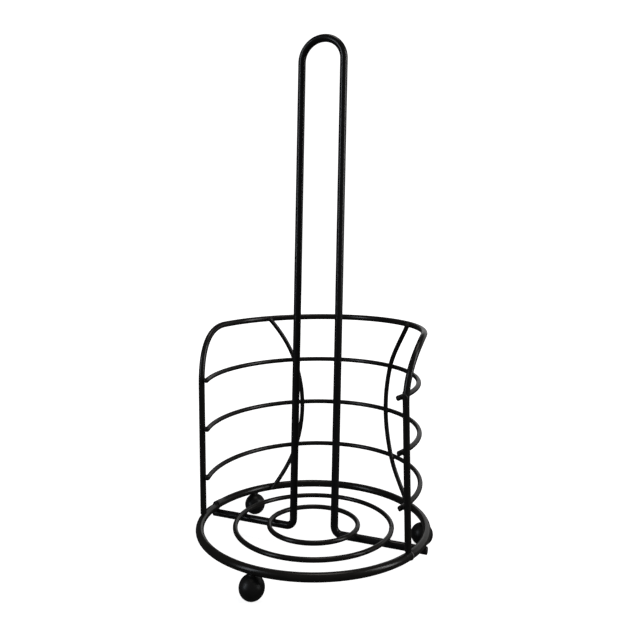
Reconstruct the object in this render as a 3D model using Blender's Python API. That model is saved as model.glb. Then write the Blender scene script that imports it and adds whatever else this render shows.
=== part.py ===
"""Countertop paper towel holder, welded from coated steel wire.

A tall wire loop stands in the middle and takes the roll. Its two ends run outwards under three
concentric base rings. A half-round basket of bent wire and rails stands on the outer ring, and two
bowed wires brace its back. Three balls carry the outer ring clear of the table.

Metres, +Z up, +X to the right and +Y to the back, with the table at Z = 0 and the mast on the Z axis.
"""
import bmesh
import bpy
from math import asin, cos, pi, radians, sin, sqrt, tan
from mathutils import Matrix, Vector

OBJECT_NAME = "paper_towel_holder"

# Wire diameters.
RING_WIRE = 0.0056
MAST_WIRE = 0.0054
LIGHT_RING_WIRE = 0.0034
FRAME_WIRE = 0.0044
RAIL_WIRE = 0.0034

# The air left where two pieces are welded, so that each stays a solid of its own.
GAP = 0.0003

# Feet: balls with a small flat where they stand. Azimuths count from +X towards +Y.
FOOT_DIAMETER = 0.016
FOOT_FLAT_DIAMETER = 0.0044
FOOT_CIRCLE_RADIUS = 0.0787
FOOT_AZIMUTHS = {
    "foot_front": radians(-95),
    "foot_back_right": radians(28),
    "foot_back_left": radians(150),
}

# Base rings, by the middle of the wire.
OUTER_RING_RADIUS = 0.0795
MIDDLE_RING_RADIUS = 0.0552
INNER_RING_RADIUS = 0.0314

# Mast: the loop's half width, its height over the table, its foot bends, the reach of its bars and
# how far it leans to the right of upright.
MAST_HALF_WIDTH = 0.0158
MAST_TOP = 0.3625
MAST_BEND_RADIUS = 0.0055
BAR_REACH = 0.082
MAST_LEAN = radians(0.8)

# Basket: how far its legs stand forward of the mast, its shape over the outer ring, how far it leans
# forward about its feet, and how much its radius shrinks for each metre of height.
LEG_AZIMUTH = radians(18.3)
BASKET_HEIGHT = 0.1352
BASKET_CORNER_RADIUS = 0.038
RAIL_SPACING = 0.0352
LOWEST_RAIL_HEIGHT = 0.0306
RAIL_OVERHANG = 0.0028
BASKET_LEAN = radians(3)
BASKET_TAPER = 0.012

# Bows: how far each stands from the middle of the back, at its ends and at its waist.
BOW_END_AZIMUTH = radians(50.1)
BOW_WAIST_AZIMUTH = radians(29.8)
BOW_DROP = 0.004
BOW_RISE = 0.0008

# Heights that follow from the pieces resting on each other.
FOOT_RADIUS = FOOT_DIAMETER / 2
FOOT_CENTRE_HEIGHT = sqrt(FOOT_RADIUS**2 - (FOOT_FLAT_DIAMETER / 2) ** 2)
OUTER_RING_HEIGHT = FOOT_CENTRE_HEIGHT + FOOT_RADIUS + GAP + RING_WIRE / 2
BAR_HEIGHT = OUTER_RING_HEIGHT - (RING_WIRE + MAST_WIRE) / 2 - GAP
LIGHT_RING_HEIGHT = BAR_HEIGHT + (MAST_WIRE + LIGHT_RING_WIRE) / 2 + GAP
BASKET_TOP = OUTER_RING_HEIGHT + BASKET_HEIGHT
LEG_FOOT_HEIGHT = OUTER_RING_HEIGHT + RING_WIRE / 2 + GAP + FRAME_WIRE / 2 * sin(BASKET_LEAN)

# Radii that follow from the rails lying inside the frame, and the bows inside the rails.
RAIL_RADIUS = OUTER_RING_RADIUS - (FRAME_WIRE + RAIL_WIRE) / 2 - GAP
BOW_RADIUS = RAIL_RADIUS - RAIL_WIRE - GAP
BOW_TOP_RADIUS = RAIL_RADIUS
BOW_FOOT_RADIUS = OUTER_RING_RADIUS - (RING_WIRE + RAIL_WIRE) / 2 - 2 * GAP


def clear_scene():
    for scene_object in list(bpy.data.objects):
        bpy.data.objects.remove(scene_object, do_unlink=True)


def coating(name, shade, roughness):
    """A black baked-on coating over steel."""
    material = bpy.data.materials.new(name)
    material.use_nodes = True
    shader = material.node_tree.nodes["Principled BSDF"]
    shader.inputs["Base Color"].default_value = (shade, shade * 0.95, shade * 0.9, 1)
    shader.inputs["Roughness"].default_value = roughness
    shader.inputs["Metallic"].default_value = 0.0
    return material


def add_to_holder(piece, holder, shade=0.012, roughness=0.38):
    """File the piece in the holder's collection, hang it on the holder's empty and coat it."""
    for old_collection in list(piece.users_collection):
        old_collection.objects.unlink(piece)
    bpy.data.collections[OBJECT_NAME].objects.link(piece)
    piece.parent = holder
    piece.data.materials.clear()
    piece.data.materials.append(coating(piece.name + "_coating", shade, roughness))
    return piece


def turn(centre, radius, start, end, steps):
    """Points of a circular arc in a flat sheet, from one angle to another, both ends included."""
    angles = [start + (end - start) * step / steps for step in range(steps + 1)]
    return [(centre[0] + radius * cos(a), centre[1] + radius * sin(a)) for a in angles]


def on_cylinder(radius, azimuth, height):
    return Vector((radius * cos(azimuth), radius * sin(azimuth), height))


def on_basket(radius, azimuth, height):
    """A point of the basket, which narrows upwards and leans forward about the line of its feet."""
    over_feet = max(height - LEG_FOOT_HEIGHT, 0)
    upright = on_cylinder(radius - BASKET_TAPER * over_feet, azimuth, height)
    feet = Vector((0, -OUTER_RING_RADIUS * sin(LEG_AZIMUTH), LEG_FOOT_HEIGHT))
    return feet + Matrix.Rotation(BASKET_LEAN, 3, "X") @ (upright - feet)


def add_wire(name, path, diameter, holder):
    """A round wire with flat cut ends along a list of points."""
    curve = bpy.data.curves.new(name, "CURVE")
    curve.dimensions = "3D"
    curve.bevel_depth = diameter / 2
    curve.bevel_resolution = 3
    curve.use_fill_caps = True
    spline = curve.splines.new("POLY")
    spline.points.add(len(path) - 1)
    for point, place in zip(spline.points, path):
        point.co = (*place, 1)
    spline.use_smooth = True
    wire = bpy.data.objects.new(name, curve)
    bpy.context.scene.collection.objects.link(wire)
    return add_to_holder(wire, holder)


def add_base_ring(name, radius, wire_diameter, height, holder):
    """A hoop of round wire, lying flat with its ends butted together."""
    bpy.ops.mesh.primitive_torus_add(
        major_radius=radius,
        minor_radius=wire_diameter / 2,
        major_segments=72,
        minor_segments=12,
        location=(0, 0, height),
    )
    ring = bpy.context.object
    ring.name = name
    ring.data.shade_smooth()
    return add_to_holder(ring, holder)


def add_foot(name, azimuth, holder):
    """A ball under the outer ring, with a flat underneath to stand on."""
    ball = bmesh.new()
    bmesh.ops.create_uvsphere(ball, u_segments=24, v_segments=16, radius=FOOT_RADIUS)
    cut = bmesh.ops.bisect_plane(
        ball,
        geom=ball.verts[:] + ball.edges[:] + ball.faces[:],
        plane_co=(0, 0, -FOOT_CENTRE_HEIGHT),
        plane_no=(0, 0, -1),
        clear_outer=True,
    )
    rim = [part for part in cut["geom_cut"] if isinstance(part, bmesh.types.BMEdge)]
    flat = bmesh.ops.contextual_create(ball, geom=rim)["faces"]
    for face in ball.faces:
        face.smooth = face not in flat
    bmesh.ops.recalc_face_normals(ball, faces=ball.faces[:])
    mesh = bpy.data.meshes.new(name)
    ball.to_mesh(mesh)
    ball.free()
    foot = bpy.data.objects.new(name, mesh)
    foot.location = on_cylinder(FOOT_CIRCLE_RADIUS, azimuth, FOOT_CENTRE_HEIGHT)
    bpy.context.scene.collection.objects.link(foot)
    return add_to_holder(foot, holder, shade=0.010, roughness=0.3)


def add_mast(holder):
    """One wire: a bar under the rings, up, round the top of the loop, down, and the other bar."""
    loop_centre = MAST_TOP - MAST_WIRE / 2 - MAST_HALF_WIDTH
    bend_x = MAST_HALF_WIDTH + MAST_BEND_RADIUS
    bend_z = BAR_HEIGHT + MAST_BEND_RADIUS
    left_half = [(-BAR_REACH, BAR_HEIGHT)]
    left_half += turn((-bend_x, bend_z), MAST_BEND_RADIUS, -pi / 2, 0, 6)
    left_half += turn((0, loop_centre), MAST_HALF_WIDTH, pi, pi / 2, 12)
    right_half = [(-x, z) for x, z in reversed(left_half[:-1])]
    outline = left_half + right_half
    path = [Vector((x + (z - BAR_HEIGHT) * tan(MAST_LEAN), 0, z)) for x, z in outline]
    return add_wire("mast_wire", path, MAST_WIRE, holder)


def add_basket_frame(holder):
    """One wire over the outer ring: a leg, a round corner, the top rim and the other leg."""
    rim_length = OUTER_RING_RADIUS * (pi + 2 * LEG_AZIMUTH)
    corner_height = BASKET_TOP - BASKET_CORNER_RADIUS
    rim_steps = 36
    rim_run = rim_length - 2 * BASKET_CORNER_RADIUS
    outline = [(0, LEG_FOOT_HEIGHT)]
    outline += turn((BASKET_CORNER_RADIUS, corner_height), BASKET_CORNER_RADIUS, pi, pi / 2, 8)
    outline += [
        (BASKET_CORNER_RADIUS + rim_run * step / rim_steps, BASKET_TOP) for step in range(1, rim_steps)
    ]
    far_corner = (rim_length - BASKET_CORNER_RADIUS, corner_height)
    outline += turn(far_corner, BASKET_CORNER_RADIUS, pi / 2, 0, 8)
    outline += [(rim_length, LEG_FOOT_HEIGHT)]
    path = [
        on_basket(OUTER_RING_RADIUS, along / OUTER_RING_RADIUS - LEG_AZIMUTH, height)
        for along, height in outline
    ]
    return add_wire("basket_frame", path, FRAME_WIRE, holder)


def add_rail(name, height, holder):
    """A rail round the inside of the frame, its cut ends just past the legs."""
    overhang = asin(RAIL_OVERHANG / RAIL_RADIUS)
    start = -LEG_AZIMUTH - overhang
    end = pi + LEG_AZIMUTH + overhang
    steps = 42
    azimuths = [start + (end - start) * step / steps for step in range(steps + 1)]
    path = [on_basket(RAIL_RADIUS, azimuth, height) for azimuth in azimuths]
    return add_wire(name, path, RAIL_WIRE, holder)


def ease(value):
    """0 below 0, 1 above 1, with a smooth run between."""
    value = min(max(value, 0), 1)
    return value * value * (3 - 2 * value)


def add_bow(name, side, holder):
    """A wire bowed towards the middle of the back. Side is -1 on the left and +1 on the right.

    Flattened out it is a circular arc. It lies inside the rails, and springs out to the frame's rim
    at its top and to the outer ring at its foot.
    """
    foot_height = OUTER_RING_HEIGHT - BOW_DROP
    top_height = BASKET_TOP + BOW_RISE
    lowest_rail = OUTER_RING_HEIGHT + LOWEST_RAIL_HEIGHT
    highest_rail = lowest_rail + 2 * RAIL_SPACING
    half_chord = (top_height - foot_height) / 2
    sag = BOW_RADIUS * (BOW_END_AZIMUTH - BOW_WAIST_AZIMUTH)
    arc_radius = (half_chord**2 + sag**2) / (2 * sag)
    half_sweep = asin(half_chord / arc_radius)
    arc_centre = (BOW_RADIUS * BOW_WAIST_AZIMUTH + arc_radius, (foot_height + top_height) / 2)
    path = []
    for from_back, height in turn(arc_centre, arc_radius, pi + half_sweep, pi - half_sweep, 30):
        foot_share = ease((lowest_rail - height) / (lowest_rail - foot_height))
        top_share = ease((height - highest_rail) / (top_height - highest_rail))
        radius = BOW_RADIUS
        radius += foot_share * (BOW_FOOT_RADIUS - BOW_RADIUS)
        radius += top_share * (BOW_TOP_RADIUS - BOW_RADIUS)
        path.append(on_basket(radius, pi / 2 - side * from_back / BOW_RADIUS, height))
    return add_wire(name, path, RAIL_WIRE, holder)


clear_scene()
bpy.context.scene.collection.children.link(bpy.data.collections.new(OBJECT_NAME))
holder_empty = bpy.data.objects.new(OBJECT_NAME + "_axis", None)
bpy.data.collections[OBJECT_NAME].objects.link(holder_empty)

for foot_name, foot_azimuth in FOOT_AZIMUTHS.items():
    add_foot(foot_name, foot_azimuth, holder_empty)

add_base_ring("outer_base_ring", OUTER_RING_RADIUS, RING_WIRE, OUTER_RING_HEIGHT, holder_empty)
add_base_ring("middle_base_ring", MIDDLE_RING_RADIUS, LIGHT_RING_WIRE, LIGHT_RING_HEIGHT, holder_empty)
add_base_ring("inner_base_ring", INNER_RING_RADIUS, LIGHT_RING_WIRE, LIGHT_RING_HEIGHT, holder_empty)
add_mast(holder_empty)
add_basket_frame(holder_empty)

for rail_number, rail_name in enumerate(("lower", "middle", "upper")):
    rail_height = OUTER_RING_HEIGHT + LOWEST_RAIL_HEIGHT + rail_number * RAIL_SPACING
    add_rail("basket_rail_" + rail_name, rail_height, holder_empty)

add_bow("bow_left", -1, holder_empty)
add_bow("bow_right", 1, holder_empty)
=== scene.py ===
"""Countertop paper towel holder of black coated steel wire, standing in a white studio.

Everything is in metres, +Z up, with the table at Z = 0 and the mast's foot on the Z axis.
"""
from math import asin, atan2, cos, pi, radians, sin, sqrt, tan

import bmesh
import bpy
from mathutils import Matrix, Vector


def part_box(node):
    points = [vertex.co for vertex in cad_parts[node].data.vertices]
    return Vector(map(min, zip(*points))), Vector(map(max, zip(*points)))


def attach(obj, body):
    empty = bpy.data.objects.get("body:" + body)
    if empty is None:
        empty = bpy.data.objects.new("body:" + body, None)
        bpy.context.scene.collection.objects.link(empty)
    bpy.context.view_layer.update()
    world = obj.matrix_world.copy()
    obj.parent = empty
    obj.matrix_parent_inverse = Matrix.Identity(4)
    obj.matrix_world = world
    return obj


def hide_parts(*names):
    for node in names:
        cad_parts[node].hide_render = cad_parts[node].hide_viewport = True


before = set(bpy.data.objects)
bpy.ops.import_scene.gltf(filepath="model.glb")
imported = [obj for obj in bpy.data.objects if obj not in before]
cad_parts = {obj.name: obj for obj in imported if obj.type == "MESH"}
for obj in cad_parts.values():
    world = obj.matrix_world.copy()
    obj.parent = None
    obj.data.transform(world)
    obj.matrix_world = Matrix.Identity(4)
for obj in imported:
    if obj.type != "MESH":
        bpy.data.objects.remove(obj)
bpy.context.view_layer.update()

MM = 0.001
scene = bpy.context.scene


# ---------------------------------------------------------------------------------------------
# Base rings. Three hoops of drawn steel wire lie level: a heavy one outside and two lighter ones
# within it. Each is rolled round and butt welded, which leaves a low ridge at the joint. The heavy
# hoop has two joints: its ends meet a little out of line at one, and a bead of weld rounds the other.
# ---------------------------------------------------------------------------------------------
class Value:
    """A value on its way through a node tree. Sums and products of values add Math nodes."""

    def __init__(self, bench, socket):
        self.bench, self.socket = bench, socket

    def __add__(self, other):
        return self.bench.maths("ADD", self, other)

    def __radd__(self, other):
        return self.bench.maths("ADD", other, self)

    def __sub__(self, other):
        return self.bench.maths("SUBTRACT", self, other)

    def __rsub__(self, other):
        return self.bench.maths("SUBTRACT", other, self)

    def __mul__(self, other):
        return self.bench.maths("MULTIPLY", self, other)

    def __rmul__(self, other):
        return self.bench.maths("MULTIPLY", other, self)

    def __truediv__(self, other):
        return self.bench.maths("DIVIDE", self, other)

    def __rtruediv__(self, other):
        return self.bench.maths("DIVIDE", other, self)


class Made:
    """A node that has been made. Its outputs are read by name or number."""

    def __init__(self, bench, made):
        self.bench, self.made = bench, made

    def __getitem__(self, output):
        return Value(self.bench, self.made.outputs[output])


class Bench:
    """A node tree being put together."""

    def __init__(self, tree):
        self.tree = tree

    def node(self, kind, settings=None, sockets=None):
        """Add a node: its settings first, then the values or links of its sockets."""
        made = self.tree.nodes.new(kind)
        for setting, chosen in (settings or {}).items():
            setattr(made, setting, chosen)
        for name, given in (sockets or {}).items():
            if isinstance(given, Value):
                self.tree.links.new(given.socket, made.inputs[name])
            else:
                made.inputs[name].default_value = given
        return Made(self, made)

    def maths(self, operation, *terms):
        """The result of a Math node on values and numbers."""
        return self.node("ShaderNodeMath", {"operation": operation}, dict(enumerate(terms)))["Value"]

    def vector(self, operation, *terms):
        """The result of a Vector Math node on vectors."""
        made = self.node("ShaderNodeVectorMath", {"operation": operation}, dict(enumerate(terms)))
        return made["Value" if operation in ("DOT_PRODUCT", "LENGTH") else "Vector"]

    def scaled(self, vector, scale):
        """A vector times a value."""
        settings = {"operation": "SCALE"}
        return self.node("ShaderNodeVectorMath", settings, {0: vector, "Scale": scale})["Vector"]

    def joined(self, **sides):
        """A vector put together from its X, Y and Z. A side that isn't given is 0."""
        return self.node("ShaderNodeCombineXYZ", {}, sides)["Vector"]

    def eased(self, value, low, high, start=0.0, end=1.0):
        """Runs smoothly from start to end as the value goes from low to high."""
        sockets = {"Value": value, "From Min": low, "From Max": high, "To Min": start, "To Max": end}
        return self.node("ShaderNodeMapRange", {"interpolation_type": "SMOOTHSTEP"}, sockets)["Result"]

    def moved(self, geometry, **sockets):
        """A geometry with its points set at a Position, or moved by an Offset."""
        sockets["Geometry"] = geometry
        return self.node("GeometryNodeSetPosition", {}, sockets)["Geometry"]

    def circle(self, radius, steps):
        """A closed circle, to be drawn along a path or as one."""
        settings = {"mode": "RADIUS"}
        sockets = {"Resolution": steps, "Radius": radius}
        return self.node("GeometryNodeCurvePrimitiveCircle", settings, sockets)["Curve"]

    def finish(self, geometry, material):
        """Ends a tree: the geometry is made real and takes its material."""
        real = self.node("GeometryNodeRealizeInstances", {}, {"Geometry": geometry})["Geometry"]
        sockets = {"Geometry": real, "Material": material}
        coated = self.node("GeometryNodeSetMaterial", {}, sockets)["Geometry"]
        self.node("NodeGroupOutput", {}, {"Shape": coated})
        return self.tree


def shape_tree(name, inputs):
    """An empty Geometry Nodes tree with named inputs. inputs holds each one's name and kind."""
    tree = bpy.data.node_groups.new(name, "GeometryNodeTree")
    for input_name, kind in inputs:
        tree.interface.new_socket(input_name, in_out="INPUT", socket_type="NodeSocket" + kind)
    tree.interface.new_socket("Shape", in_out="OUTPUT", socket_type="NodeSocketGeometry")
    bench = Bench(tree)
    return bench, bench.node("NodeGroupInput")


def wire_from_path_tree():
    """Draws round wire along a path. Its two ends are cut square and their edges are rounded."""
    bench, given = shape_tree(
        "wire_from_path",
        (
            ("Path", "Geometry"),
            ("Wire", "Float"),
            ("Sides", "Int"),
            ("Edge Rounding", "Float"),
            ("End Swell", "Float"),
            ("Swell Length", "Float"),
        ),
    )
    length = bench.node("GeometryNodeCurveLength", {}, {"Curve": given["Path"]})["Length"]
    # Four more points, two at either end, draw the rounded edges of the cuts.
    index = bench.node("GeometryNodeInputIndex")["Index"]
    points = bench.node("GeometryNodeSplineLength")["Point Count"]
    first = bench.maths("LESS_THAN", index, 0.5)
    last = bench.maths("GREATER_THAN", index, points - 2.5)
    more = bench.node(
        "GeometryNodeSubdivideCurve", {}, {"Curve": given["Path"], "Cuts": (first + last) * 2}
    )["Curve"]
    from_end = bench.maths("MINIMUM", index, points - 1 - index)
    step = bench.maths("MINIMUM", from_end, 2) / 2
    inward = step * step * given["Edge Rounding"]
    at_start = bench.maths("LESS_THAN", index, points / 2)
    reach = inward * at_start + (length - inward) * (1 - at_start)
    sample = bench.node(
        "GeometryNodeSampleCurve",
        {"mode": "LENGTH", "use_all_curves": True},
        {"Curves": given["Path"], "Length": reach},
    )["Position"]
    near_end = bench.maths("LESS_THAN", from_end, 2.5)
    path = bench.moved(more, Selection=near_end, Position=sample)
    along = bench.node("GeometryNodeSplineParameter")["Length"]
    to_end = bench.maths("MINIMUM", along, length - along) / given["Swell Length"]
    swell = given["End Swell"] / (1 + to_end * to_end * to_end)
    edge = (1 - step) * (1 - step) * given["Edge Rounding"] / (given["Wire"] / 2)
    profile = bench.circle(given["Wire"] / 2, given["Sides"])
    drawn = bench.node(
        "GeometryNodeCurveToMesh",
        {},
        {"Curve": path, "Profile Curve": profile, "Scale": 1 + swell - edge, "Fill Caps": True},
    )["Mesh"]
    # The flat cuts are the only faces with more than four corners, and they stay sharp.
    corners = bench.node("GeometryNodeInputMeshFaceNeighbors")["Vertex Count"]
    cut = bench.maths("GREATER_THAN", corners, 4.5)
    smooth = bench.node("GeometryNodeSetShadeSmooth", {}, {0: drawn, "Shade Smooth": 1 - cut})
    bench.node("NodeGroupOutput", {}, {"Shape": smooth["Geometry"]})
    return bench.tree


wire_from_path = wire_from_path_tree()
WIRE_INPUTS = (
    ("Wire", "Float"),
    ("Sides", "Int"),
    ("Edge Rounding", "Float"),
    ("End Swell", "Float"),
    ("Swell Length", "Float"),
    ("Coating", "Material"),
)


def finish_wire(bench, given, path):
    """Ends a tree: wire drawn along the path, made real and coated."""
    sockets = {name: given[name] for name, kind in WIRE_INPUTS if name != "Coating"}
    sockets["Path"] = path
    drawn = bench.node("GeometryNodeGroup", {"node_tree": wire_from_path}, sockets)["Shape"]
    return bench.finish(drawn, given["Coating"])


def wire_sizes(wire, sides, edge_rounding, coat, end_swell=0.0, swell_length=MM):
    """The sizes that every wire has. Its ends swell by a share of its radius, over a length."""
    return {
        "Wire": wire,
        "Sides": sides,
        "Edge Rounding": edge_rounding,
        "End Swell": end_swell,
        "Swell Length": swell_length,
        "Coating": coat,
    }


def shaped(name, tree, sizes, path=((0, 0, 0),)):
    """The mesh that a tree makes from its sizes and, if it wants one, a path of corner points."""
    corners = bpy.data.meshes.new(name + "_path")
    corners.from_pydata(path, [(i, i + 1) for i in range(len(path) - 1)], [])
    maker = bpy.data.objects.new(name + "_maker", corners)
    scene.collection.objects.link(maker)
    modifier = maker.modifiers.new("shape", "NODES")
    modifier.node_group = tree
    for item in tree.interface.items_tree:
        if item.in_out == "INPUT" and item.name in sizes:
            modifier[item.identifier] = sizes[item.name]
    bpy.context.view_layer.update()
    evaluated = maker.evaluated_get(bpy.context.evaluated_depsgraph_get())
    mesh = bpy.data.meshes.new_from_object(evaluated)
    maker.modifiers.remove(modifier)
    bpy.data.objects.remove(maker)
    bpy.data.meshes.remove(corners)
    return mesh


def piece(name, meshes, material, slot, *nodes):
    """One finished piece from one or more meshes. It rides on the holder in place of its nodes."""
    joined = bmesh.new()
    for mesh in meshes:
        joined.from_mesh(mesh)
    whole = bpy.data.meshes.new(name)
    joined.to_mesh(whole)
    joined.free()
    whole.materials.append(material)
    made = bpy.data.objects.new(name, whole)
    scene.collection.objects.link(made)
    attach(made, "root")
    if nodes:
        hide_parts(*nodes)


PEEL_DEPTH = 0.006 * MM
GRAIN_SIZE = 0.28 * MM
CLOUD_SIZE = 14 * MM
SHEEN = 0.3


def coating(name, deep, lit, roughness, peel_size=1.5 * MM, rubbed=0.0):
    """Satin black powder coat: orange peel, a fine grain, and faint clouds where it lies thicker.

    deep and lit are its darkest and palest shades. rubbed is how much the upper side has been
    polished by the rolls that stand on it.
    """
    material = bpy.data.materials.new(name)
    material.use_nodes = True
    material.node_tree.nodes.clear()
    bench = Bench(material.node_tree)
    place = bench.node("ShaderNodeTexCoord")["Object"]

    def noise(size, detail):
        """Soft unevenness with lumps of about a size."""
        sockets = {"Vector": place, "Scale": 1 / size, "Detail": detail, "Roughness": 0.5}
        return bench.node("ShaderNodeTexNoise", {}, sockets)["Fac"]

    peel, grain, cloud = noise(peel_size, 1.0), noise(GRAIN_SIZE, 1.0), noise(CLOUD_SIZE, 3.0)
    facing = bench.node("ShaderNodeNewGeometry")["Normal"]
    upward = bench.node("ShaderNodeSeparateXYZ", {}, {"Vector": facing})["Z"]
    polish = bench.eased(upward + (cloud - 0.5) * 0.5, 0.7, 1.0) * rubbed
    shade = bench.node(
        "ShaderNodeMix",
        {"data_type": "RGBA"},
        {"Factor": cloud * 0.8 + grain * 0.3 - 0.1, 6: (*deep, 1), 7: (*lit, 1)},
    )[2]
    uneven = roughness + (cloud - 0.5) * 0.14 + (grain - 0.5) * 0.03 - polish * 0.12
    bump = bench.node(
        "ShaderNodeBump",
        {},
        {"Strength": 1.0, "Distance": PEEL_DEPTH, "Height": peel + cloud * 2},
    )["Normal"]
    skin = bench.node(
        "ShaderNodeBsdfPrincipled",
        {},
        {
            "Base Color": shade,
            "Roughness": uneven,
            "Specular IOR Level": SHEEN,
            "Normal": bump,
        },
    )["BSDF"]
    bench.node("ShaderNodeOutputMaterial", {}, {"Surface": skin})
    return material


RING_POINTS = 241


def rolled_ring_tree():
    """A hoop of rolled wire. Its two ends meet at the seam, stepped a little apart."""
    sizes = (
        ("Ring Radius", "Float"),
        ("Height", "Float"),
        ("Seam", "Float"),
        ("Step Out", "Float"),
        ("Step Up", "Float"),
        ("Step Reach", "Float"),
    )
    bench, given = shape_tree("rolled_ring", sizes + WIRE_INPUTS)
    arc = bench.node(
        "GeometryNodeCurveArc",
        {"mode": "RADIUS"},
        {
            "Resolution": RING_POINTS,
            "Radius": given["Ring Radius"],
            "Start Angle": given["Seam"],
            "Sweep Angle": 2 * pi,
        },
    )["Curve"]
    share = bench.node("GeometryNodeSplineParameter")["Factor"]
    at_start = bench.maths("LESS_THAN", share, 0.5)
    to_end = bench.maths("MINIMUM", share, 1 - share) * 2 * pi * given["Ring Radius"]
    side = (at_start * 2 - 1) * bench.eased(to_end, 0.0, given["Step Reach"], 1.0, 0.0)
    here = bench.node("GeometryNodeInputPosition")["Position"]
    sideways = bench.scaled(bench.vector("NORMALIZE", here), side * given["Step Out"])
    upward = bench.joined(Z=side * given["Step Up"] + given["Height"])
    placed = bench.moved(arc, Offset=bench.vector("ADD", sideways, upward))
    return finish_wire(bench, given, placed)


rolled_ring = rolled_ring_tree()
RING_SEAMS = {
    # Where each hoop's ends meet, and how far its ends are stepped outwards and up.
    "outer_base_ring": (radians(181.5), 0.2 * MM, -0.75 * MM),
    "middle_base_ring": (radians(15), 0.05 * MM, 0.05 * MM),
    "inner_base_ring": (radians(168), 0.05 * MM, 0.0),
}
STEP_REACH = 11 * MM
RING_EDGE = 0.5 * MM
END_SWELL = 0.06
SWELL_LENGTH = 1.3 * MM
WARM_BLACK = (0.011, 0.0104, 0.0098)
ring_coat = coating("ring_coating", WARM_BLACK, (0.026, 0.0236, 0.0212), 0.24, rubbed=0.4)
ring_radius, ring_wire, ring_height = {}, {}, {}
for ring, (seam, step_out, step_up) in RING_SEAMS.items():
    low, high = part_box(ring)
    ring_wire[ring] = high.z - low.z
    ring_height[ring] = (high.z + low.z) / 2
    ring_radius[ring] = (high.x - low.x - ring_wire[ring]) / 2
    sizes = {
        "Ring Radius": ring_radius[ring],
        "Height": ring_height[ring],
        "Seam": seam,
        "Step Out": step_out,
        "Step Up": step_up,
        "Step Reach": STEP_REACH,
        **wire_sizes(ring_wire[ring], 28, RING_EDGE, ring_coat, END_SWELL, SWELL_LENGTH),
    }
    piece(ring + "_wire", [shaped(ring, rolled_ring, sizes)], ring_coat, "wire_coating", ring)

base_ring, base_wire = ring_radius["outer_base_ring"], ring_wire["outer_base_ring"]
base_height = ring_height["outer_base_ring"]


def ring_bead_tree():
    """A bead of weld round the wire of a hoop, over a joint."""
    sizes = (
        ("Wire Radius", "Float"),
        ("Bead", "Float"),
        ("Centre", "Vector"),
        ("Turn", "Vector"),
        ("Coating", "Material"),
    )
    bench, given = shape_tree("ring_bead", sizes)
    loop, profile = bench.circle(given["Wire Radius"], 64), bench.circle(given["Bead"], 16)
    bead = bench.node("GeometryNodeCurveToMesh", {}, {"Curve": loop, "Profile Curve": profile})
    placed = bench.node(
        "GeometryNodeTransform",
        {},
        {"Geometry": bead["Mesh"], "Translation": given["Centre"], "Rotation": given["Turn"]},
    )["Geometry"]
    smooth = bench.node("GeometryNodeSetShadeSmooth", {}, {0: placed, "Shade Smooth": True})
    return bench.finish(smooth["Geometry"], given["Coating"])


BEAD_AZIMUTH = radians(-17.1)
BEAD_SKEW = radians(7)
BEAD_SINK = 0.1 * MM
bead_place = Vector((base_ring * cos(BEAD_AZIMUTH), base_ring * sin(BEAD_AZIMUTH), base_height))
# The bead is coated pale grey, far paler than the black wire round it. This is a painted highlight
# that stands for the bright line running across this joint.
bead_highlight_coat = coating("bead_painted_highlight_coating", (0.14, 0.135, 0.13), (0.26, 0.25, 0.24), 0.34)
bead_sizes = {
    "Wire Radius": base_wire / 2 - BEAD_SINK,
    "Bead": 0.5 * MM,
    "Centre": bead_place,
    "Turn": Vector((pi / 2, 0, BEAD_AZIMUTH + BEAD_SKEW)),
    "Coating": bead_highlight_coat,
}
ring_bead = shaped("ring_bead", ring_bead_tree(), bead_sizes)
piece("outer_ring_bead", [ring_bead], bead_highlight_coat, "wire_coating")


# ---------------------------------------------------------------------------------------------
# Mast. One heavy wire is bent into a tall narrow loop that the roll slips over. Its two ends turn
# outwards under the rings, which are welded down on them where they cross.
# ---------------------------------------------------------------------------------------------
def bent_path(bench, path, bend, steps):
    """The curve through a path's corners, with each corner bent round in a number of steps."""
    curve = bench.node("GeometryNodeMeshToCurve", {}, {"Mesh": path})["Curve"]
    sockets = {"Curve": curve, "Count": steps, "Radius": bend, "Limit Radius": True}
    return bench.node("GeometryNodeFilletCurve", {"mode": "POLY"}, sockets)["Curve"]


def bent_loop_tree():
    """A wire bent at the corners of its path, tightly at its feet and wide at the top."""
    sizes = (
        ("Path", "Geometry"),
        ("Foot Bend", "Float"),
        ("Top Bend", "Float"),
        ("Bend Line", "Float"),
    )
    bench, given = shape_tree("bent_loop", sizes + WIRE_INPUTS)
    here = bench.node("GeometryNodeInputPosition")["Position"]
    height = bench.node("ShaderNodeSeparateXYZ", {}, {"Vector": here})["Z"]
    high = bench.maths("GREATER_THAN", height, given["Bend Line"])
    bend = given["Foot Bend"] * (1 - high) + given["Top Bend"] * high
    return finish_wire(bench, given, bent_path(bench, given["Path"], bend, 20))


MAST_WIRE = 5.4 * MM
MAST_HALF_WIDTH = 15.8 * MM
MAST_FOOT_BEND = 5.5 * MM
MAST_TOP_STRAIGHT = 0.4 * MM
MAST_LEAN = radians(0.8)
mast_low, mast_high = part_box("mast_wire")
bar_height = mast_low.z + MAST_WIRE / 2
bar_reach = mast_high.x
mast_top = mast_high.z - MAST_WIRE / 2
lean = (mast_top - bar_height) * tan(MAST_LEAN)
mast_path = (
    (-bar_reach, 0, bar_height),
    (-MAST_HALF_WIDTH, 0, bar_height),
    (-MAST_HALF_WIDTH + lean, 0, mast_top),
    (MAST_HALF_WIDTH + lean, 0, mast_top),
    (MAST_HALF_WIDTH, 0, bar_height),
    (bar_reach, 0, bar_height),
)
mast_coat = coating("mast_coating", (0.01, 0.01, 0.0106), (0.022, 0.021, 0.021), 0.24)
mast_sizes = {
    "Foot Bend": MAST_FOOT_BEND,
    "Top Bend": MAST_HALF_WIDTH - MAST_TOP_STRAIGHT / 2,
    "Bend Line": mast_top / 2,
    **wire_sizes(MAST_WIRE, 32, 0.35 * MM, mast_coat),
}
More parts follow.
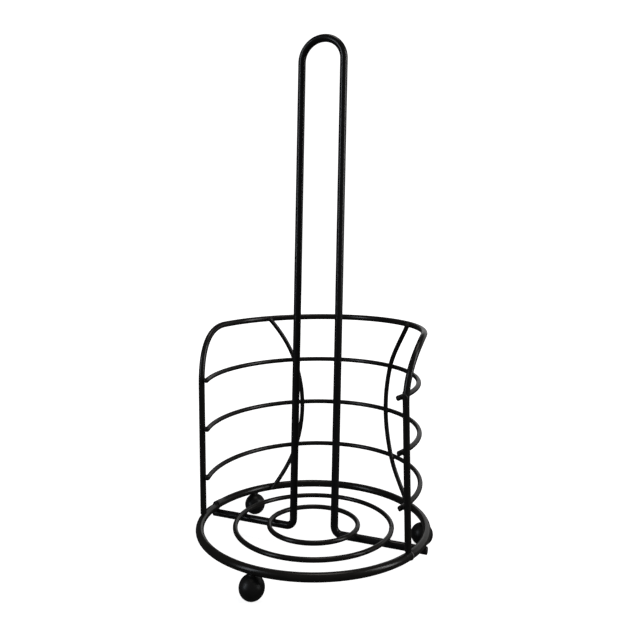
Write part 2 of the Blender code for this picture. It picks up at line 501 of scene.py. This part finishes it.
mast = shaped("mast", bent_loop_tree(), mast_sizes, mast_path)
piece("mast_loop", [mast], mast_coat, "wire_coating", "mast_wire")


def weld_tree():
    """The metal that runs together where two rods are welded, with a stub of each rod in it."""
    bench, given = shape_tree(
        "weld",
        (
            ("A Start", "Vector"),
            ("A End", "Vector"),
            ("A Radius", "Float"),
            ("B Start", "Vector"),
            ("B End", "Vector"),
            ("B Radius", "Float"),
            ("Centre", "Vector"),
            ("Reach", "Float"),
            ("Fillet", "Float"),
            ("Voxel", "Float"),
            ("Lumps", "Float"),
            ("Lump Size", "Float"),
            ("Coating", "Material"),
        ),
    )
    here = bench.node("GeometryNodeInputPosition")["Position"]

    def from_rod(rod):
        """How far a point is from the rod's surface."""
        start, end = given[rod + " Start"], given[rod + " End"]
        axis = bench.vector("SUBTRACT", end, start)
        offset = bench.vector("SUBTRACT", here, start)
        share = bench.vector("DOT_PRODUCT", offset, axis) / bench.vector("DOT_PRODUCT", axis, axis)
        share = bench.maths("MAXIMUM", bench.maths("MINIMUM", share, 1), 0)
        nearest = bench.scaled(axis, share)
        gap = bench.vector("LENGTH", bench.vector("SUBTRACT", offset, nearest))
        return gap - given[rod + " Radius"]

    near_a, near_b = from_rod("A"), from_rod("B")
    # metal is how far a point is from the surface of both rods and the fillet between them.
    metal = bench.maths("SMOOTH_MIN", near_a, near_b, given["Fillet"])
    # Lumps rise on the fillet alone. The fillet lifts the surface by at most a sixth of its size.
    uneven = bench.node(
        "ShaderNodeTexNoise", {}, {"Vector": here, "Scale": 1 / given["Lump Size"], "Detail": 1.0}
    )["Fac"]
    weld_share = (bench.maths("MINIMUM", near_a, near_b) - metal) / given["Fillet"] * 6
    metal = metal - (uneven - 0.35) * given["Lumps"] * weld_share
    # The stubs end on a sphere about the weld's centre. The surface is where the density is 0.5.
    away = bench.vector("LENGTH", bench.vector("SUBTRACT", here, given["Centre"]))
    metal = bench.maths("SMOOTH_MAX", metal, away - given["Reach"], 2 * given["Voxel"])
    density = bench.maths("MAXIMUM", 0.5 - metal / (4 * given["Voxel"]), 0)
    density = bench.maths("MINIMUM", density, 1)
    margin = given["Reach"] + 3 * given["Voxel"]
    corner = bench.joined(X=margin, Y=margin, Z=margin)
    across = margin * 2 / given["Voxel"]
    block = bench.node(
        "GeometryNodeVolumeCube",
        {},
        {
            "Density": density,
            "Min": bench.vector("SUBTRACT", given["Centre"], corner),
            "Max": bench.vector("ADD", given["Centre"], corner),
            "Resolution X": across,
            "Resolution Y": across,
            "Resolution Z": across,
        },
    )["Volume"]
    skin = bench.node(
        "GeometryNodeVolumeToMesh",
        {"resolution_mode": "GRID"},
        {"Volume": block, "Threshold": 0.5, "Adaptivity": 0.0},
    )["Mesh"]
    # Corners that fall on one another would leave faces of no width.
    whole = bench.node(
        "GeometryNodeMergeByDistance", {}, {"Geometry": skin, "Distance": 0.002 * MM}
    )["Geometry"]
    smooth = bench.node("GeometryNodeSetShadeSmooth", {}, {0: whole, "Shade Smooth": True})
    return bench.finish(smooth["Geometry"], given["Coating"])


weld = weld_tree()
STUB_SINK = 0.03 * MM
STUB_MARGIN = 0.4 * MM
HEAVY_FILLET = 2.4 * MM
weld_coat = coating(
    "weld_coating", WARM_BLACK, (0.028, 0.0256, 0.0232), 0.34, peel_size=0.9 * MM
)


def welded(rod_a, rod_b, fillet=2.0 * MM, centre=None, reach=None, voxel=0.22 * MM):
    """The weld between two rods. A rod is two points on its middle line, and its diameter.

    A ball is a rod of no length. The weld is centred between the rods' middles, and the stubs
    reach just past both rods, unless a centre and a reach are given.
    """
    start_a, end_a, wire_a = rod_a
    start_b, end_b, wire_b = rod_b
    sizes = {
        "A Start": start_a,
        "A End": end_a,
        "A Radius": wire_a / 2 - STUB_SINK,
        "B Start": start_b,
        "B End": end_b,
        "B Radius": wire_b / 2 - STUB_SINK,
        "Centre": centre or (start_a + end_a + start_b + end_b) / 4,
        "Reach": reach or (wire_a + wire_b) / 2 + STUB_MARGIN,
        "Fillet": fillet,
        "Voxel": voxel,
        "Lumps": 0.1 * MM,
        "Lump Size": 1.3 * MM,
        "Coating": weld_coat,
    }
    return shaped("weld", weld, sizes)


STUB = 6 * MM


def on_cylinder(radius, azimuth, height):
    """A place on an upright cylinder about the Z axis."""
    return Vector((radius * cos(azimuth), radius * sin(azimuth), height))


def level_rod(radius, azimuth, height, wire, half_length=STUB):
    """A short straight stretch of a level wire that runs round the holder: its ends and wire."""
    middle = on_cylinder(radius, azimuth, height)
    run = Vector((-sin(azimuth), cos(azimuth), 0)) * half_length
    return middle - run, middle + run, wire


def ring_rod(ring, azimuth):
    """A short straight stretch of a base ring."""
    return level_rod(ring_radius[ring], azimuth, ring_height[ring], ring_wire[ring])


bar_welds = []
for ring in RING_SEAMS:
    inner = ring_radius[ring] - STUB
    outer = min(ring_radius[ring] + STUB, bar_reach - MAST_WIRE / 2)
    for azimuth in (pi, 0):
        bar = on_cylinder(inner, azimuth, bar_height), on_cylinder(outer, azimuth, bar_height)
        bar_welds.append(welded((*bar, MAST_WIRE), ring_rod(ring, azimuth)))
piece("bar_welds", bar_welds, weld_coat, "wire_coating")


# ---------------------------------------------------------------------------------------------
# Basket frame. One wire goes up from the outer ring, round a wide bend, along the half-round rim
# and down the other side. It was bent flat and then rolled. Both feet are welded on the ring, and
# the basket leans a little forward about them and narrows a little upwards.
# ---------------------------------------------------------------------------------------------
def rolled_sheet_tree():
    """Rolls a flat path up: along it is azimuth from the start, and its height stays."""
    bench, given = shape_tree(
        "rolled_sheet",
        (
            ("Path", "Geometry"),
            ("Sheet Radius", "Float"),
            ("Start Azimuth", "Float"),
            ("Radius", "Float"),
        ),
    )
    here = bench.node("GeometryNodeInputPosition")["Position"]
    flat = bench.node("ShaderNodeSeparateXYZ", {}, {"Vector": here})
    azimuth = given["Start Azimuth"] + flat["X"] / given["Sheet Radius"]
    place = bench.joined(
        X=bench.maths("COSINE", azimuth) * given["Radius"],
        Y=bench.maths("SINE", azimuth) * given["Radius"],
        Z=flat["Z"],
    )
    bench.node("NodeGroupOutput", {}, {"Shape": bench.moved(given["Path"], Position=place)})
    return bench.tree


rolled_sheet = rolled_sheet_tree()


def rolled_up(bench, path, sheet_radius, start_azimuth, radius):
    """A flat path rolled up. Its radius may differ from the sheet's, and may change along it."""
    sockets = {
        "Path": path,
        "Sheet Radius": sheet_radius,
        "Start Azimuth": start_azimuth,
        "Radius": radius,
    }
    return bench.node("GeometryNodeGroup", {"node_tree": rolled_sheet}, sockets)["Shape"]


def evenly(bench, path, spacing):
    """A path with its points an even spacing apart."""
    sockets = {"Curve": path, "Length": spacing}
    return bench.node("GeometryNodeResampleCurve", {"mode": "LENGTH"}, sockets)["Curve"]


def bent_frame_tree():
    """A wire bent flat at its corners, then rolled round the holder."""
    sizes = (
        ("Path", "Geometry"),
        ("Corner Bend", "Float"),
        ("Spacing", "Float"),
        ("Start Azimuth", "Float"),
        ("Radius", "Float"),
    )
    bench, given = shape_tree("bent_frame", sizes + WIRE_INPUTS)
    bent = bent_path(bench, given["Path"], given["Corner Bend"], 32)
    even = evenly(bench, bent, given["Spacing"])
    radius = given["Radius"]
    return finish_wire(bench, given, rolled_up(bench, even, radius, given["Start Azimuth"], radius))


FRAME_WIRE = 4.4 * MM
LEG_AZIMUTH = radians(18.3)
CORNER_BEND = 38 * MM
BASKET_HEIGHT = 135.2 * MM
BASKET_LEAN = radians(3)
BASKET_TAPER = 0.012
WELD_GAP = 0.3 * MM
CUT_ROUNDING = 0.3 * MM
rim_height = base_height + BASKET_HEIGHT
leg_foot = base_height + base_wire / 2 + WELD_GAP + FRAME_WIRE / 2 * sin(BASKET_LEAN)
feet_line = Vector((0, -base_ring * sin(LEG_AZIMUTH), leg_foot))
rim_length = base_ring * (pi + 2 * LEG_AZIMUTH)
frame_path = (
    (0, 0, leg_foot),
    (0, 0, rim_height),
    (rim_length, 0, rim_height),
    (rim_length, 0, leg_foot),
)


def settled(upright):
    """Where a point of the basket, made upright, is once the basket narrows and leans."""
    over_feet = max(upright.z - leg_foot, 0)
    narrow = 1 - BASKET_TAPER * over_feet / upright.xy.length
    narrowed = Vector((upright.x * narrow, upright.y * narrow, upright.z))
    return feet_line + Matrix.Rotation(BASKET_LEAN, 3, "X") @ (narrowed - feet_line)


def settled_mesh(mesh):
    """A mesh of the basket with its corners settled."""
    for corner in mesh.vertices:
        corner.co = settled(corner.co)
    return mesh


def settled_rod(start, end, wire):
    """A stretch of the basket's wire with its ends settled."""
    return settled(start), settled(end), wire


frame_coat = coating("frame_coating", WARM_BLACK, (0.025, 0.023, 0.0214), 0.25)
frame_sizes = {
    "Corner Bend": CORNER_BEND,
    "Spacing": 1.6 * MM,
    "Start Azimuth": -LEG_AZIMUTH,
    "Radius": base_ring,
    **wire_sizes(FRAME_WIRE, 28, CUT_ROUNDING, frame_coat),
}
frame_wire = settled_mesh(shaped("basket_frame", bent_frame_tree(), frame_sizes, frame_path))
piece("basket_frame_wire", [frame_wire], frame_coat, "wire_coating", "basket_frame")

leg_azimuths = (-LEG_AZIMUTH, pi + LEG_AZIMUTH)
leg_welds = []
for azimuth in leg_azimuths:
    foot = on_cylinder(base_ring, azimuth, leg_foot)
    low, high = Vector((0, 0, FRAME_WIRE / 2)), Vector((0, 0, 3 * FRAME_WIRE))
    leg = settled_rod(foot + low, foot + high, FRAME_WIRE)
    leg_welds.append(welded(leg, ring_rod("outer_base_ring", azimuth), HEAVY_FILLET))
piece("leg_welds", leg_welds, weld_coat, "wire_coating")


# ---------------------------------------------------------------------------------------------
# Rails. Three thin wires run side by side round the inside of the basket. Each end is welded to the
# inside of a leg and is cut off just past it.
# ---------------------------------------------------------------------------------------------
def rail_tree():
    """A straight wire rolled round the inside of the basket, level."""
    sizes = (
        ("Azimuth", "Float"),
        ("Height", "Float"),
        ("Radius", "Float"),
        ("Spacing", "Float"),
    )
    bench, given = shape_tree("rail", sizes + WIRE_INPUTS)
    radius = given["Radius"]
    start = bench.joined(Z=given["Height"])
    end = bench.joined(X=(2 * given["Azimuth"] + pi) * radius, Z=given["Height"])
    line = bench.node("GeometryNodeCurvePrimitiveLine", {}, {"Start": start, "End": end})["Curve"]
    even = evenly(bench, line, given["Spacing"])
    return finish_wire(bench, given, rolled_up(bench, even, radius, 0 - given["Azimuth"], radius))


rail = rail_tree()
RAIL_WIRE = 3.4 * MM
RAIL_OVERHANG = 2.8 * MM
RAIL_SPACING = 35.2 * MM
LOWEST_RAIL_HEIGHT = 30.6 * MM
RAIL_STUB = 3 * MM
rail_radius = base_ring - (FRAME_WIRE + RAIL_WIRE) / 2 - WELD_GAP
rail_coat = coating("rail_coating", WARM_BLACK, (0.028, 0.0256, 0.0236), 0.27)
rail_heights = []
rail_welds = []
for number, level in enumerate(("lower", "middle", "upper")):
    node = "basket_rail_" + level
    height = base_height + LOWEST_RAIL_HEIGHT + number * RAIL_SPACING
    rail_heights.append(height)
    sizes = {
        "Azimuth": LEG_AZIMUTH + asin(RAIL_OVERHANG / rail_radius),
        "Height": height,
        "Radius": rail_radius,
        "Spacing": 1.8 * MM,
        **wire_sizes(RAIL_WIRE, 24, CUT_ROUNDING, rail_coat),
    }
    rail_wire = settled_mesh(shaped(node, rail, sizes))
    piece(node + "_wire", [rail_wire], rail_coat, "wire_coating", node)
    for azimuth in leg_azimuths:
        rail_end = settled_rod(*level_rod(rail_radius, azimuth, height, RAIL_WIRE, RAIL_STUB))
        leg, up = on_cylinder(base_ring, azimuth, height), Vector((0, 0, STUB))
        rail_welds.append(welded(rail_end, settled_rod(leg - up, leg + up, FRAME_WIRE)))
piece("rail_welds", rail_welds, weld_coat, "wire_coating")


# ---------------------------------------------------------------------------------------------
# Bows. Two thin wires inside the rails bow towards the middle of the back. Each is welded to all
# three rails, and springs out to the rim at its top and to the outer ring at its foot.
# ---------------------------------------------------------------------------------------------
BOW_POINTS = 97


def bow_tree():
    """An arc of wire rolled inside the rails, easing outwards towards either end."""
    sizes = (
        ("Arc Radius", "Float"),
        ("Arc Along", "Float"),
        ("Arc Height", "Float"),
        ("Half Sweep", "Float"),
        ("Side", "Float"),
        ("Radius", "Float"),
        ("Foot Radius", "Float"),
        ("Top Radius", "Float"),
        ("Foot Height", "Float"),
        ("Lowest Rail", "Float"),
        ("Highest Rail", "Float"),
        ("Top Height", "Float"),
    )
    bench, given = shape_tree("bow", sizes + WIRE_INPUTS)
    arc = bench.node(
        "GeometryNodeCurveArc",
        {"mode": "RADIUS"},
        {
            "Resolution": BOW_POINTS,
            "Radius": given["Arc Radius"],
            "Start Angle": pi + given["Half Sweep"],
            "Sweep Angle": -2 * given["Half Sweep"],
        },
    )["Curve"]
    here = bench.node("GeometryNodeInputPosition")["Position"]
    flat = bench.node("ShaderNodeSeparateXYZ", {}, {"Vector": here})
    standing = bench.joined(
        X=(flat["X"] + given["Arc Along"]) * given["Side"], Z=flat["Y"] + given["Arc Height"]
    )
    stood = bench.moved(arc, Position=standing)
    foot = 1 - bench.eased(flat["Z"], given["Foot Height"], given["Lowest Rail"])
    top = bench.eased(flat["Z"], given["Highest Rail"], given["Top Height"])
    radius = given["Radius"] + foot * (given["Foot Radius"] - given["Radius"])
    radius = radius + top * (given["Top Radius"] - given["Radius"])
    return finish_wire(bench, given, rolled_up(bench, stood, given["Radius"], pi / 2, radius))


BOW_END_AZIMUTH = radians(50.1)
BOW_WAIST_AZIMUTH = radians(29.8)
BOW_DROP = 4 * MM
BOW_RISE = 0.8 * MM
BOW_WELD_INSET = 1.5 * MM
BOW_STUB = 3 * MM
BOW_END_STUB = 4 * MM
bow_radius = rail_radius - RAIL_WIRE - WELD_GAP
bow_foot_radius = base_ring - (base_wire + RAIL_WIRE) / 2 - 2 * WELD_GAP
bow_foot_height = base_height - BOW_DROP
bow_top_height = rim_height + BOW_RISE
bow_sag = bow_radius * (BOW_END_AZIMUTH - BOW_WAIST_AZIMUTH)
bow_half_chord = (bow_top_height - bow_foot_height) / 2
bow_arc = (bow_half_chord**2 + bow_sag**2) / (2 * bow_sag)
bow_along = bow_radius * BOW_WAIST_AZIMUTH + bow_arc
bow_middle = (bow_foot_height + bow_top_height) / 2
bow_coat = coating("bow_coating", WARM_BLACK, (0.026, 0.024, 0.0222), 0.27)


def smooth_step(value):
    """0 below 0, 1 above 1, with a smooth run between."""
    value = min(max(value, 0), 1)
    return value * value * (3 - 2 * value)


def bow_point(side, height):
    """Where a bow's middle line is at a height. Side is -1 on the left and +1 on the right."""
    along = bow_along - sqrt(bow_arc**2 - (height - bow_middle) ** 2)
    foot = smooth_step((rail_heights[0] - height) / (rail_heights[0] - bow_foot_height))
    top = smooth_step((height - rail_heights[2]) / (bow_top_height - rail_heights[2]))
    radius = bow_radius + foot * (bow_foot_radius - bow_radius) + top * (rail_radius - bow_radius)
    return on_cylinder(radius, pi / 2 - side * along / bow_radius, height)


def bow_rod(side, height, low=BOW_STUB, high=BOW_STUB):
    """A short straight stretch of a bow, from a little under a height to a little over it."""
    return settled_rod(bow_point(side, height - low), bow_point(side, height + high), RAIL_WIRE)


def crossing_rod(point, radius, height, wire):
    """A short straight stretch of a rail or the rim, where a bow passes it at a point."""
    return settled_rod(*level_rod(radius, atan2(point.y, point.x), height, wire))


bow = bow_tree()
bow_welds = []
for side, node in ((-1, "bow_left"), (1, "bow_right")):
    sizes = {
        "Arc Radius": bow_arc,
        "Arc Along": bow_along,
        "Arc Height": bow_middle,
        "Half Sweep": asin(bow_half_chord / bow_arc),
        "Side": -float(side),
        "Radius": bow_radius,
        "Foot Radius": bow_foot_radius,
        "Top Radius": rail_radius,
        "Foot Height": bow_foot_height,
        "Lowest Rail": rail_heights[0],
        "Highest Rail": rail_heights[2],
        "Top Height": bow_top_height,
        **wire_sizes(RAIL_WIRE, 24, CUT_ROUNDING, bow_coat),
    }
    bow_wire = settled_mesh(shaped(node, bow, sizes))
    piece(node + "_wire", [bow_wire], bow_coat, "wire_coating", node)
    for height in rail_heights:
        rail_there = crossing_rod(bow_point(side, height), rail_radius, height, RAIL_WIRE)
        bow_welds.append(welded(bow_rod(side, height), rail_there))
    foot = bow_foot_height + BOW_WELD_INSET
    foot_point = settled(bow_point(side, foot))
    ring_there = ring_rod("outer_base_ring", atan2(foot_point.y, foot_point.x))
    bow_welds.append(welded(bow_rod(side, foot, 0, BOW_END_STUB), ring_there))
    top = bow_top_height - BOW_WELD_INSET
    rim_there = crossing_rod(bow_point(side, top), base_ring, rim_height, FRAME_WIRE)
    bow_welds.append(welded(bow_rod(side, top, BOW_END_STUB, 0), rim_there))
piece("bow_welds", bow_welds, weld_coat, "wire_coating")


# ---------------------------------------------------------------------------------------------
# Feet. Three coated steel balls are welded under the outer ring. Each stands on a small worn flat.
# ---------------------------------------------------------------------------------------------
BALL_CUTS = 23
FLAT_EDGE = 0.15 * MM
FLAT_ROUNDING = 0.03 * MM


def ball(node):
    """A ball worn flat underneath, in the place of its CAD solid, with its middle and radius."""
    low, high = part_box(node)
    radius = (high.x - low.x) / 2
    middle = Vector(((low.x + high.x) / 2, (low.y + high.y) / 2, high.z - radius))
    shape = bmesh.new()
    bmesh.ops.create_cube(shape, size=2)
    bmesh.ops.subdivide_edges(shape, edges=shape.edges[:], cuts=BALL_CUTS, use_grid_fill=True)
    for corner in shape.verts:
        x, y, z = (tan(part * pi / 4) for part in corner.co)
        corner.co = Vector((x, y, z)).normalized() * radius
        lift = low.z - (middle.z + corner.co.z)
        if lift > -FLAT_EDGE:
            corner.co.z += (lift + sqrt(lift * lift + FLAT_ROUNDING**2)) / 2
            corner.co.z = max(corner.co.z, low.z - middle.z)
        corner.co += middle
    for face in shape.faces:
        face.smooth = True
    mesh = bpy.data.meshes.new(node)
    shape.to_mesh(mesh)
    shape.free()
    return mesh, middle, radius


BALL_WELD_REACH = 4.6 * MM
BALL_VOXEL = 0.24 * MM
foot_coat = coating(
    "foot_coating", (0.01, 0.01, 0.01), (0.022, 0.0214, 0.0208), 0.38, peel_size=1.9 * MM
)
foot_welds = []
for node in ("foot_front", "foot_back_right", "foot_back_left"):
    mesh, middle, radius = ball(node)
    piece(node + "_ball", [mesh], foot_coat, "foot_coating", node)
    top = middle + Vector((0, 0, radius))
    ring_there = ring_rod("outer_base_ring", atan2(middle.y, middle.x))
    rod = (middle, middle, 2 * radius)
    foot_welds.append(welded(rod, ring_there, HEAVY_FILLET, top, BALL_WELD_REACH, BALL_VOXEL))
piece("foot_welds", foot_welds, weld_coat, "wire_coating")


# ---------------------------------------------------------------------------------------------
# The room: a white acrylic table that sweeps up into a wall all round, soft lights, and the camera.
# The table glows a little, and it is kept out of the wires' reflections so that they stay dark.
# ---------------------------------------------------------------------------------------------
FLOOR_STEPS = 96


def turned_floor(profile):
    """A surface of revolution about the Z axis through a list of (radius, height) points."""
    shape = bmesh.new()
    rings = []
    for radius, height in profile:
        ring = [
            shape.verts.new(on_cylinder(radius, 2 * pi * step / FLOOR_STEPS, height))
            for step in range(FLOOR_STEPS)
        ]
        rings.append(ring)
    for inner, outer in zip(rings, rings[1:]):
        for step in range(FLOOR_STEPS):
            after = (step + 1) % FLOOR_STEPS
            shape.faces.new((inner[step], outer[step], outer[after], inner[after]))
    shape.faces.new(rings[0])
    for face in shape.faces:
        face.smooth = True
    mesh = bpy.data.meshes.new("floor")
    shape.to_mesh(mesh)
    shape.free()
    return mesh


FLOOR_RADIUS = 2.2
SWEEP = 1.2
SWEEP_STEPS = 16
WALL_HEIGHT = 1.5
profile = [(0.5, 0), (1.4, 0)]
for step in range(SWEEP_STEPS + 1):
    angle = pi / 2 * step / SWEEP_STEPS
    profile.append((FLOOR_RADIUS + SWEEP * sin(angle), SWEEP * (1 - cos(angle))))
profile.append((FLOOR_RADIUS + SWEEP, SWEEP + WALL_HEIGHT))
floor = bpy.data.objects.new("studio_floor", turned_floor(profile))
scene.collection.objects.link(floor)
# The glow grows towards the table's edges.
paint = bpy.data.materials.new("studio_white")
paint.use_nodes = True
paint.node_tree.nodes.clear()
acrylic = Bench(paint.node_tree)
from_middle = acrylic.vector("LENGTH", acrylic.node("ShaderNodeTexCoord")["Object"])
glow = acrylic.eased(from_middle, 0.1, 1.0, 0.88, 1.1)
glow_shade = acrylic.joined(X=glow, Y=glow, Z=glow)
paint_skin = acrylic.node(
    "ShaderNodeBsdfPrincipled",
    {},
    {
        "Base Color": (0.9, 0.9, 0.9, 1),
        "Roughness": 0.9,
        "Specular IOR Level": 0.0,
        "Emission Color": glow_shade,
        "Emission Strength": 1.0,
    },
)["BSDF"]
acrylic.node("ShaderNodeOutputMaterial", {}, {"Surface": paint_skin})
floor.data.materials.append(paint)
floor.visible_glossy = False
floor.visible_diffuse = False

world = bpy.data.worlds.new("studio_air")
world.use_nodes = True
world.node_tree.nodes["Background"].inputs["Color"].default_value = (1, 1, 1, 1)
world.node_tree.nodes["Background"].inputs["Strength"].default_value = 0.04
scene.world = world


def soft_light(name, place, target, width, height, power, tint):
    """A rectangle of light at a place, turned to face a target. The camera doesn't see it."""
    lamp = bpy.data.lights.new(name, "AREA")
    lamp.shape = "RECTANGLE"
    lamp.size, lamp.size_y, lamp.energy = width, height, power
    lamp.color = tint
    light = bpy.data.objects.new(name, lamp)
    light.location = place
    light.rotation_euler = (Vector(target) - Vector(place)).to_track_quat("-Z", "Y").to_euler()
    light.visible_camera = False
    scene.collection.objects.link(light)


WARM, PLAIN, COOL = (1.0, 0.93, 0.86), (1.0, 1.0, 1.0), (0.86, 0.92, 1.0)
soft_light("overhead", (0.1, 0.15, 1.7), (0, 0, 0.1), 0.55, 0.55, 3.2, WARM)
soft_light("back_sheet", (0.4, 1.9, 0.75), (0, 0, 0.3), 3.2, 1.3, 6.5, PLAIN)
soft_light("right_window", (1.3, 0.1, 0.7), (0, 0, 0.15), 0.3, 1.1, 8, PLAIN)
soft_light("left_window", (-0.86, -1.12, 0.6), (0, 0, 0.15), 0.25, 1.0, 5, COOL)

CAMERA_TURN = radians(22.57)
CAMERA_PLACE = Vector((3.4 * MM, -451.09 * MM, 204.86 * MM))
CAMERA_PITCH = radians(-1.3)
CAMERA_ROLL = radians(0.4)
CAMERA_SHIFT = -0.0703125
lens = bpy.data.cameras.new("camera")
lens.sensor_width = 36
lens.lens = 36
lens.shift_y = CAMERA_SHIFT
camera = bpy.data.objects.new("camera", lens)
camera.matrix_world = (
    Matrix.Rotation(CAMERA_TURN, 4, "Z")
    @ Matrix.Translation(CAMERA_PLACE)
    @ Matrix.Rotation(CAMERA_PITCH, 4, "X")
    @ Matrix.Rotation(-CAMERA_ROLL, 4, "Y")
    @ Matrix.Rotation(pi / 2, 4, "X")
)
scene.collection.objects.link(camera)
scene.camera = camera
scene.view_settings.view_transform = "Standard"
